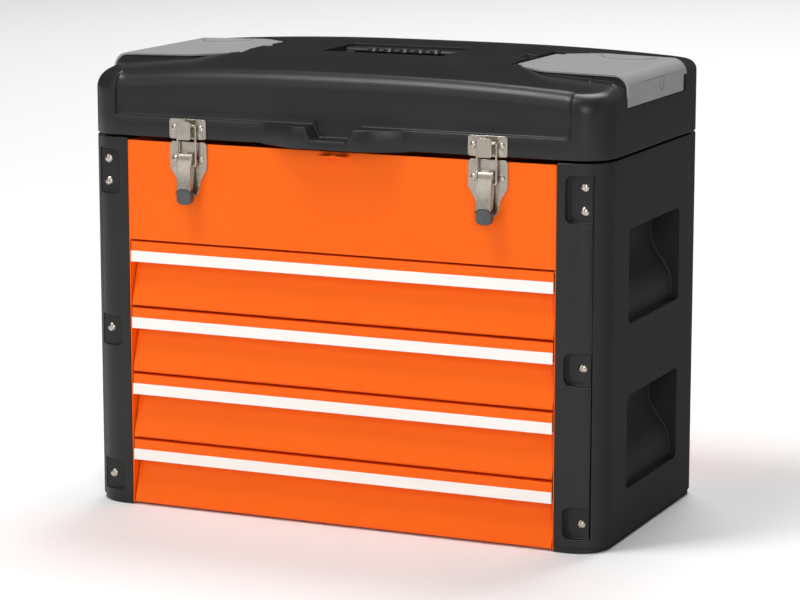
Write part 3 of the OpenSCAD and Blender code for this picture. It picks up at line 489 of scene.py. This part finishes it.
# where the lid's outline has its points: close together at the notch's slopes, even over the lip's
# slopes and the long straight, and close again at the ends of the sunk field, where the corners start
LIP_STEPS, END_STEPS, LEAST_STEP = 14, 12, 2
NOTCH_XS = [0, 4, 8, 12, 15, 16.6, 17.4, 18.4, 19.6, 20.8, 22, 23, 24, 25, 27]
LIP_XS = [LID["lip_flat"] + (LID["lip_half"] - LID["lip_flat"]) * i / LIP_STEPS for i in range(LIP_STEPS + 1)]
STRAIGHT_XS = [84 + 9 * i for i in range(14)] + [206, 211, 215, 217.2]
CORNER_ANGLES = [1.3, 2.5, 3.1, 3.8, 4.7, 6.5] + [5 * i for i in range(2, 18)]


def plan_stations(half_w, half_d, corner):
    """Points and outward normals round a rounded rectangle, symmetrical in x and y."""
    last = half_w - corner
    xs = [x for x in NOTCH_XS + LIP_XS + STRAIGHT_XS if x < last - LEAST_STEP] + [last]
    ys = [half_d - corner - i * (half_d - corner) / END_STEPS for i in range(END_STEPS)]
    quarter = [(x, -half_d, 0, -1) for x in xs]
    for a in CORNER_ANGLES:
        nx, ny = math.sin(math.radians(a)), -math.cos(math.radians(a))
        quarter.append((last + corner * nx, corner - half_d + corner * ny, nx, ny))
    quarter += [(half_w, -y, 1, 0) for y in ys]
    back = [(x, -y, nx, -ny) for x, y, nx, ny in reversed(quarter)]
    right = quarter + [(half_w, 0, 1, 0)] + back
    left = [(-x, y, -nx, ny) for x, y, nx, ny in reversed(right) if x > 0]
    return right + left


# how far the hollow's cutter passes the lid's foot, and a height above the whole lid
OVER, SKY = 3.0, 450.0
# shares of the way from the rounded edge to the middle line at which the crown has its rings
CROWN_STEPS = [0.03, 0.07, 0.12, 0.19, 0.27, 0.36, 0.46, 0.58, 0.72, 0.86, 1.0]


def crown_core(x, half_w):
    """The point of the lid's middle line that a station's ring runs towards."""
    reach = half_w - LID["core_in"]
    return max(-reach, min(reach, x * reach / (half_w - LID["corner"])))


def end_share(x, y, half_w):
    """How far a point of the outline is along an end, where the lid's edge is rounder."""
    return ease((LID["end_half"] - abs(y)) / LID["end_run"]) if abs(x) > half_w - 1 else 0


def rings_of(columns):
    """The rings of a loft from columns of points that stand round the outline."""
    return [[at(*point) for point in ring] for ring in zip(*columns)]


def lid_rings():
    """The lid's outer skin: foot, proud band with lip and notch, sunk front field, rounded edge, crown."""
    lip_run, notch_run = LID["lip_half"] - LID["lip_flat"], LID["notch_top"] - LID["notch_low"]
    columns = []
    for x, y, nx, ny in plan_stations(LID["half_w"], LID["half_d"], LID["corner"]):
        front = y < 0
        far = abs(x)
        swell = LID["lip"] * ease((LID["lip_half"] - far) / lip_run) if front else 0
        field = ease((LID["field_half"] - far) / LID["field_run"]) if front else 0
        notch = ease((LID["notch_top"] - far) / notch_run) if front else 0
        top = LID["foot"] + LID["band"] - LID["notch_h"] * notch
        foot = LID["foot"] - min(1.0, swell)
        sunk = LID["field"] * field
        step = min(1.0, (swell + sunk) / LID["ledge"])
        edge = LID["front_edge"] if front else LID["back_edge"]
        radius = edge + (LID["end_edge"] - edge) * end_share(x, y, LID["half_w"])
        column = [(inward - swell, foot + up) for inward, up in FOOT_EDGE]
        column += [(inward * step - swell, top - down) for inward, down in BAND_EDGE]
        column += [(sunk - out * step, top + up) for out, up in BAND_FILLET]
        column += [(sunk, z) for z in LID["side_rows"]]
        column = [(x - nx * d, y - ny * d, z) for d, z in column]
        for i in range(EDGE_STEPS + 1):
            a = math.radians(90 * i / EDGE_STEPS)
            d = sunk + radius * (1 - math.cos(a))
            px, py = x - nx * d, y - ny * d
            column.append((px, py, crown_z(px, py) - radius * (1 - math.sin(a))))
        core = crown_core(x, LID["half_w"])
        for t in CROWN_STEPS:
            qx, qy = px + (core - px) * t, py * (1 - t)
            column.append((qx, qy, crown_z(qx, qy)))
        columns.append(column)
    return rings_of(columns)


def hollow_rings():
    """The space inside the lid's wall, open below."""
    wall = LID["wall"]
    half_w = LID["half_w"] - wall
    back = LID["half_d"] - wall
    front = LID["half_d"] - LID["field"] - LID["front_wall"]
    half_d, shift = (back + front) / 2, (back - front) / 2
    columns = []
    for x, y, nx, ny in plan_stations(half_w, half_d, LID["corner"] - wall):
        radius = LID["inner_edge"] * (1 + end_share(x, y, half_w))
        column = [(x, y + shift, LID["foot"] - OVER), (x, y + shift, LID["side_rows"][-1])]
        for i in range(0, EDGE_STEPS + 1, 2):
            a = math.radians(90 * i / EDGE_STEPS)
            d = radius * (1 - math.cos(a))
            px, py = x - nx * d, y - ny * d
            column.append((px, py + shift, crown_z(px, py) - wall - radius * (1 - math.sin(a))))
        core = crown_core(x, half_w)
        for t in CROWN_STEPS:
            qx, qy = px + (core - px) * t, py * (1 - t)
            column.append((qx, qy + shift * (1 - t), crown_z(qx, qy) - wall))
        columns.append(column)
    return rings_of(columns)


# a compartment cover and its seat in the lid: top_in and top_out are its heights at the inner edge and
# at the bend, and the seat's cutter keeps a gap round it and under it
COVER = dict(inner=134.0, top_in=413.2, top_out=411.2, thick=2.4, bend=14.0, end=250.8, low=383.0,
             half_in=53.5, half_out=78.0, flare=42.0, pin_x=136.8, pin_z=410.4, barrel=2.8,
             barrel_half=47.5, bearing=55.5, gap=0.75, under=0.3, slit=1.6, side_steps=14, bend_steps=8,
             pad_in=0.8, pad_from=8.0, pad_thick=6.0, pad_lift=0.2,
             seat_far=300.0, seat_out=64.0, seat_down=50.0)


def cover_half(x):
    span = COVER["half_out"] - COVER["half_in"]
    return COVER["half_in"] + span * ease((x - COVER["inner"]) / COVER["flare"])


def cover_line(down, inner):
    """Side line of a cover's top, lowered and drawn in by down, from its inner edge to its foot."""
    bend_x, bend_z = COVER["end"] - COVER["bend"], COVER["top_out"] - COVER["bend"]
    fall = COVER["top_in"] - COVER["top_out"]
    line = []
    for i in range(COVER["side_steps"]):
        x = inner + (bend_x - inner) * i / COVER["side_steps"]
        lean = max(0, (x - COVER["inner"]) / (bend_x - COVER["inner"]))
        line.append((x, COVER["top_in"] - down - fall * lean))
    r = COVER["bend"] - down
    for i in range(COVER["bend_steps"] + 1):
        a = math.radians(90 - 90 * i / COVER["bend_steps"])
        line.append((bend_x + r * math.cos(a), bend_z + r * math.sin(a)))
    line.append((COVER["end"] - down, COVER["low"] - COVER["gap"]))
    return line


def cover_seat(side):
    """Everything above a cover's seat, as a cutter."""
    rings = []
    under = COVER["thick"] + COVER["under"]
    bend_x, bend_z = COVER["end"] - COVER["bend"], COVER["top_out"] - COVER["bend"]
    for x, z in cover_line(under, COVER["inner"] - COVER["slit"]):
        half = cover_half(x) + COVER["gap"]
        # past the bend the cutter's far side swings outwards, so its rings never cross
        turn = max(0.0, x - bend_x) / (COVER["bend"] - under)
        far_x, far_z = COVER["seat_far"], z
        if z >= bend_z:
            far_x, far_z = x + COVER["seat_out"] * turn, SKY - COVER["seat_down"] * turn
        rings.append([at(side * x, -half, z), at(side * x, half, z),
                      at(side * far_x, half, far_z), at(side * far_x, -half, far_z)])
    return lofted("seat", rings)


def cover_pad(side):
    """The raised pad that carries a cover, a little inside its outline."""
    start = COVER["inner"] + COVER["pad_from"]
    under = COVER["thick"] + COVER["under"]
    top, foot = cover_line(under - COVER["pad_lift"], start), cover_line(under + COVER["pad_thick"], start)
    rings = []
    for (x, z), (low_x, low_z) in zip(top, foot):
        half = cover_half(x) - COVER["pad_in"]
        rings.append([at(side * x, -half, z), at(side * x, half, z),
                      at(side * low_x, half, low_z), at(side * low_x, -half, low_z)])
    return lofted("pad", rings)


# forms in the lid as seen from above: a hollow's floor and corners, then its wall, the wall's underside
# and own corners; the covers' bearings are a solid slab, and the keepers' notches have no wall
RECESS = dict(x=(-60.0, 60.0), y=(-36.0, 36.0), floor=393.5, corner=4.0,
              wall=3.0, under=380.0, outer_corner=7.0)
BIN = dict(x=(146.0, 234.0), y=(-50.0, 50.0), floor=374.5, corner=3.0,
           wall=2.5, under=372.0, outer_corner=5.0)
BEARINGS = dict(x=(129.8, 143.8), y=(-60.5, 60.5), wall=0.0, under=403.4, outer_corner=1.0)
KEEPER = dict(x=(122.8, 132.4), y=(-8.0, 12.0), floor=410.5, corner=0.5)
# the handle's pivots: y and z of their line, how far the bosses and bores in the lid reach, and the pins
PIVOT = dict(line=(-27.0, 407.5), boss=(62.0, 66.0), boss_r=8.0, bore=(0.0, 64.0), bore_r=3.05,
             pin_r=3.0, pin_end=63.7)


def lid_well(form, side=1):
    """The cutter of a hollow in the lid, from its floor up past the crown."""
    return block("z", [side * x for x in form["x"]], form["y"], (form["floor"], SKY), form["corner"])


def well_wall(form, side=1):
    """What a form and its wall take of the space inside the lid."""
    (x0, x1), (y0, y1), wall = form["x"], form["y"], form["wall"]
    return block("z", (side * (x0 - wall), side * (x1 + wall)), (y0 - wall, y1 + wall),
                 (form["under"], SKY), form["outer_corner"])


def pivot_rod(side, ends, radius):
    """A round bar on the line of the handle's pivots."""
    start, end = [(side * x, *PIVOT["line"]) for x in ends]
    return rod(start, end, radius)


def lid_moulding(width):
    hollow = new_piece("hollow", lofted("hollow", hollow_rings(), closed_top=False))
    cut(hollow, well_wall(RECESS))
    for side in (-1, 1):
        cut(hollow, well_wall(BIN, side))
        cut(hollow, well_wall(BEARINGS, side))
        cut(hollow, pivot_rod(side, PIVOT["boss"], PIVOT["boss_r"]))
    piece = new_piece("lid_moulding", lofted("lid_moulding", lid_rings(), closed_top=False))
    cut(piece, taken(hollow))
    reach, radius = COVER["barrel_half"] + COVER["gap"], COVER["barrel"]
    for side in (-1, 1):
        x, z = side * COVER["pin_x"], COVER["pin_z"]
        cut(piece, cover_pad(side), "UNION")
        cut(piece, cover_seat(side))
        cut(piece, rod((x, -reach, z), (x, reach, z), radius + COVER["gap"]))
        for end in (-1, 1):
            cut(piece, rod((x, end * reach, z), (x, end * COVER["bearing"], z), radius), "UNION")
        cut(piece, lid_well(BIN, side))
        cut(piece, lid_well(KEEPER, side))
        cut(piece, pivot_rod(side, PIVOT["bore"], PIVOT["bore_r"]))
    cut(piece, lid_well(RECESS))
    smoothed(piece.data, angle=30)
    round_edges(piece, width, steps=2, angle=40)
    stands_for(piece, "lid_shell")


# ---------------------------------------------------------------- handle

BAR = dict(half=58.0, front=14.5, back=32.5, low=402.7, top=414.7, corner=3.0,
           arm=9.0, arm_end=-31.0, arm_low=403.5, arm_top=411.5, arm_corner=3.9, arm_root=4.0, pin_root=1.0)
# the finger scallops are cut slantwise through the bar's upper front edge, as many on each side
# of the middle one
SCALLOP = dict(each_side=2, step=15.5, radius=7.0, start=(-0.5, 401.7), end=(23.7, 430.7))


def handle_moulding(width):
    piece = new_piece("handle_moulding", block("x", (BAR["front"], BAR["back"]), (BAR["low"], BAR["top"]),
                                               (-BAR["half"], BAR["half"]), BAR["corner"], steps=8))
    for side in (-1, 1):
        cut(piece, block("x", (BAR["arm_end"], BAR["front"] + BAR["arm_root"]),
                         (BAR["arm_low"], BAR["arm_top"]),
                         (side * (BAR["half"] - BAR["arm"]), side * BAR["half"]),
                         BAR["arm_corner"], steps=8), "UNION")
        pin = (BAR["half"] - BAR["pin_root"], PIVOT["pin_end"])
        cut(piece, pivot_rod(side, pin, PIVOT["pin_r"]), "UNION")
    for k in range(-SCALLOP["each_side"], SCALLOP["each_side"] + 1):
        x = k * SCALLOP["step"]
        cut(piece, rod((x, *SCALLOP["start"]), (x, *SCALLOP["end"]), SCALLOP["radius"]))
    smoothed(piece.data, angle=30)
    round_edges(piece, width, steps=3, angle=40)
    stands_for(piece, "handle")


# ---------------------------------------------------------------- settings


def tint(name, text, description):
    return bpy.props.FloatVectorProperty(name=name, description=description, subtype="COLOR", size=3,
                                         min=0, max=1, default=colour(text))


class TintSettings(bpy.types.PropertyGroup):
    black: tint("Black plastic", "#242424", "Colour of the end frames, lid and handle")
    black_pale: tint("Black plastic, pale", "#282828", "Paler flow clouds of the black plastic")
    orange: tint("Orange coat", "#ff6908", "Colour of the drawers and body panels")
    orange_deep: tint("Orange coat, deep", "#fd6605", "Where the coat is thicker")
    nickel: tint("Nickel", "#c9c1b5", "Colour of the latches, hinges and rivets")
    nickel_deep: tint("Nickel, deep", "#bab2a6", "Darker places in the plating")
    grey: tint("Grey plastic", "#9e9e9d", "Colour of the compartment covers")
    grey_deep: tint("Grey plastic, deep", "#989797", "Darker flow clouds of the grey plastic")
    white: tint("White strips", "#fffcf6", "Colour of the drawers' pull strips")
    white_deep: tint("White strips, deep", "#f7f3ec", "Drawing lines of the strips")
    zinc: tint("Zinc", "#c3c7ca", "Light crystals of the drawer trays and runners")
    zinc_deep: tint("Zinc, deep", "#a3a9ad", "Dark crystals of the drawer trays and runners")
    tip: tint("Lever tips", "#4b4d4e", "Colour of the dipped lever tips")
    tip_pale: tint("Lever tips, pale", "#565859", "Paler waves of the lever tips")


def length(name, millimetres, description):
    return bpy.props.FloatProperty(name=name, description=description, subtype="DISTANCE", unit="LENGTH",
                                   min=0.02 * MM, max=2 * MM, precision=5, default=millimetres * MM)


class EdgeSettings(bpy.types.PropertyGroup):
    sheet: length("Sheet edges", 0.25, "Rounding of sheet metal edges")
    moulding: length("Frame edges", 0.9, "Rounding of the end frames' edges")
    lid: length("Lid edges", 0.5, "Rounding of the lid's cut edges")
    cover: length("Cover edges", 0.7, "Rounding of the compartment covers' edges")
    handle: length("Handle edges", 0.4, "Rounding of the handle's edges")
    latch: length("Latch edges", 0.3, "Rounding of the latch plates' edges")
    tip: length("Tip edges", 1.2, "Rounding of the lever tips")
    wire: length("Wire ends", 0.15, "Rounding of pins, rivets and wire ends")


class StageSettings(bpy.types.PropertyGroup):
    lens: bpy.props.FloatProperty(name="Lens", default=132.918, subtype="DISTANCE_CAMERA",
                                  description="Focal length of the camera in millimetres")
    key: bpy.props.FloatProperty(name="Key light", default=46.0, unit="POWER",
                                 description="Power of the large lamp at the front left")
    fill: bpy.props.FloatProperty(name="Fill light", default=80.0, unit="POWER",
                                  description="Power of the narrow lamp at the front right")
    overhead: bpy.props.FloatProperty(name="Overhead light", default=44.0, unit="POWER",
                                      description="Power of the lamp that draws the lid's front edge")
    ceiling: bpy.props.FloatProperty(name="Ceiling light", default=480.0, unit="POWER",
                                     description="Power of the high lamp over the paper behind the box")
    surround: bpy.props.FloatProperty(name="Surround", default=0.03,
                                      description="Strength of the studio's own faint light")


# ---------------------------------------------------------------- operators

# pins, wires and rivets are shaded round, and only the edges of their ends are rounded off
ROUND_PIECE = dict(steps=2, angle=50, flat=0.1)


class TOOLBOX_OT_steel_body(bpy.types.Operator):
    """Panels, fascia and runners of the steel body"""
    bl_idname = "toolbox.steel_body"
    bl_label = "Steel body"

    def execute(self, context):
        for node in ("left_side_panel", "right_side_panel", "back_panel", "bottom_panel", "bay_floor",
                     "front_fascia", "drawer_runners"):
            refined(node, context.scene.toolbox_edges.sheet)
        return {"FINISHED"}


class TOOLBOX_OT_end_frames(bpy.types.Operator):
    """Moulded end frames with their hand grips and pockets"""
    bl_idname = "toolbox.end_frames"
    bl_label = "End frames"

    def execute(self, context):
        for side in (-1, 1):
            end_frame(side, context.scene.toolbox_edges.moulding)
        return {"FINISHED"}


class TOOLBOX_OT_rivets(bpy.types.Operator):
    """Domed rivets of the frames, latches and hinges"""
    bl_idname = "toolbox.rivets"
    bl_label = "Rivets"

    def execute(self, context):
        for node in ("frame_rivets", "plate_rivets", "lid_rivets"):
            refined(node, context.scene.toolbox_edges.wire, **ROUND_PIECE)
        return {"FINISHED"}


class TOOLBOX_OT_drawers(bpy.types.Operator):
    """Folded fronts, pull strips, trays and rails of the four drawers"""
    bl_idname = "toolbox.drawers"
    bl_label = "Drawers"

    def execute(self, context):
        for k in range(1, 5):
            for part in ("front", "strip", "tray", "rails"):
                refined(f"drawer_{k}_{part}", context.scene.toolbox_edges.sheet)
        return {"FINISHED"}


class TOOLBOX_OT_latches(bpy.types.Operator):
    """Toggle latches: catches, bases, levers, tips, bails and pins"""
    bl_idname = "toolbox.latches"
    bl_label = "Latches"

    def execute(self, context):
        edges = context.scene.toolbox_edges
        for node in ("latch_bases", "latch_catches", "left_lever", "right_lever"):
            refined(node, edges.latch)
        for node in ("latch_pins", "left_bail", "right_bail"):
            refined(node, edges.wire, **ROUND_PIECE)
        for node in ("left_lever_tip", "right_lever_tip"):
            refined(node, edges.tip, steps=4)
        return {"FINISHED"}


class TOOLBOX_OT_rear_hinges(bpy.types.Operator):
    """Rear hinges with their pins"""
    bl_idname = "toolbox.rear_hinges"
    bl_label = "Rear hinges"

    def execute(self, context):
        for node in ("hinge_body_leaves", "hinge_lid_leaves", "hinge_pins"):
            refined(node, context.scene.toolbox_edges.sheet, angle=40)
        return {"FINISHED"}


class TOOLBOX_OT_lid(bpy.types.Operator):
    """Lid moulding with its band, lip, crown, handle recess and bins"""
    bl_idname = "toolbox.lid"
    bl_label = "Lid"

    def execute(self, context):
        lid_moulding(context.scene.toolbox_edges.lid)
        return {"FINISHED"}


class TOOLBOX_OT_covers(bpy.types.Operator):
    """Compartment covers and their keepers"""
    bl_idname = "toolbox.covers"
    bl_label = "Compartment covers"

    def execute(self, context):
        for node in ("left_cover", "right_cover", "cover_keepers"):
            refined(node, context.scene.toolbox_edges.cover, steps=3)
        return {"FINISHED"}


class TOOLBOX_OT_handle(bpy.types.Operator):
    """Carrying handle with its finger scallops"""
    bl_idname = "toolbox.handle"
    bl_label = "Handle"

    def execute(self, context):
        handle_moulding(context.scene.toolbox_edges.handle)
        return {"FINISHED"}


# how many metres the floor reaches to each side of the box
FLOOR_HALF = 16
# each lamp's place, the point it looks at and its size, in metres
LAMPS = {
    "key": ((-2.0, -3.9, 2.4), (0, 0, 0.3), (3.4, 3.4)),
    "fill": ((2.4, -4.0, 2.1), (0, 0, 0.2), (0.9, 3.0)),
    "overhead": ((-0.7, -0.85, 2.8), (0, 0, 0.4), (0.65, 1.1)),
    "ceiling": ((-0.2, 3.8, 6.5), (-2.0, 4.6, 0), (4.0, 4.0)),
}
# the camera fits the photograph's straight lines: its place in millimetres, and how far in degrees
# it looks down and is turned
CAMERA = dict(place=(1088.17, -2454.53, 680.71), down=10.477, turn=23.861)


def lamp(name, place, target, size, power):
    """A rectangular softbox in metres, turned to a target."""
    light = bpy.data.lights.new(name, "AREA")
    light.shape = "RECTANGLE"
    light.size, light.size_y = size
    light.energy = power
    box = bpy.data.objects.new(name, light)
    bpy.context.scene.collection.objects.link(box)
    box.location = place
    box.rotation_euler = (Vector(target) - Vector(place)).to_track_quat("-Z", "Y").to_euler()


class TOOLBOX_OT_stage(bpy.types.Operator):
    """Floor, lamps, surroundings and the camera at the photograph's angle"""
    bl_idname = "toolbox.stage"
    bl_label = "Stage"

    def execute(self, context):
        stage = context.scene.toolbox_stage
        scene = context.scene
        floor = bmesh.new()
        bmesh.ops.create_grid(floor, x_segments=8, y_segments=8, size=FLOOR_HALF)
        data = bpy.data.meshes.new("floor")
        floor.to_mesh(data)
        floor.free()
        data.materials.append(studio_paper("Seamless studio paper", colour("#f6f6f6"), colour("#f1f1f1")))
        new_piece("floor", data)

        world = bpy.data.worlds.new("Studio")
        world.use_nodes = True
        shade = world.node_tree.nodes["Background"]
        shade.inputs["Color"].default_value = (1, 1, 1, 1)
        shade.inputs["Strength"].default_value = stage.surround
        scene.world = world

        for name, (place, target, size) in LAMPS.items():
            lamp(name, place, target, size, getattr(stage, name))

        lens = bpy.data.cameras.new("camera")
        lens.lens = stage.lens
        lens.sensor_width = 36
        lens.clip_end = 100
        camera = bpy.data.objects.new("camera", lens)
        camera.location = at(*CAMERA["place"])
        camera.rotation_euler = (math.radians(90 - CAMERA["down"]), 0, math.radians(CAMERA["turn"]))
        scene.collection.objects.link(camera)
        scene.camera = camera
        scene.view_settings.view_transform = "Standard"
        return {"FINISHED"}


class TOOLBOX_PT_panel(bpy.types.Panel):
    """Lists the settings and the pieces of the tool box"""
    bl_idname = "TOOLBOX_PT_panel"
    bl_label = "Tool Box"
    bl_space_type = "VIEW_3D"
    bl_region_type = "UI"
    bl_category = "Tool Box"

    def draw(self, context):
        for name, kind in GROUPS.items():
            for key in kind.__annotations__:
                self.layout.prop(getattr(context.scene, name), key)
        for step in STEPS:
            self.layout.operator(step.bl_idname)


STEPS = (TOOLBOX_OT_stage, TOOLBOX_OT_steel_body, TOOLBOX_OT_end_frames, TOOLBOX_OT_rivets,
         TOOLBOX_OT_drawers, TOOLBOX_OT_latches, TOOLBOX_OT_rear_hinges, TOOLBOX_OT_lid,
         TOOLBOX_OT_covers, TOOLBOX_OT_handle)
GROUPS = {"toolbox_tints": TintSettings, "toolbox_edges": EdgeSettings, "toolbox_stage": StageSettings}


def register():
    for kind in (*GROUPS.values(), *STEPS, TOOLBOX_PT_panel):
        bpy.utils.register_class(kind)
    for name, kind in GROUPS.items():
        setattr(bpy.types.Scene, name, bpy.props.PointerProperty(type=kind))


def unregister():
    for name in GROUPS:
        delattr(bpy.types.Scene, name)
    for kind in reversed((*GROUPS.values(), *STEPS, TOOLBOX_PT_panel)):
        bpy.utils.unregister_class(kind)


def main():
    register()
    make_finishes(bpy.context.scene.toolbox_tints)
    for step in STEPS:
        group, name = step.bl_idname.split(".")
        getattr(getattr(bpy.ops, group), name)()


if __name__ == "__main__":
    main()
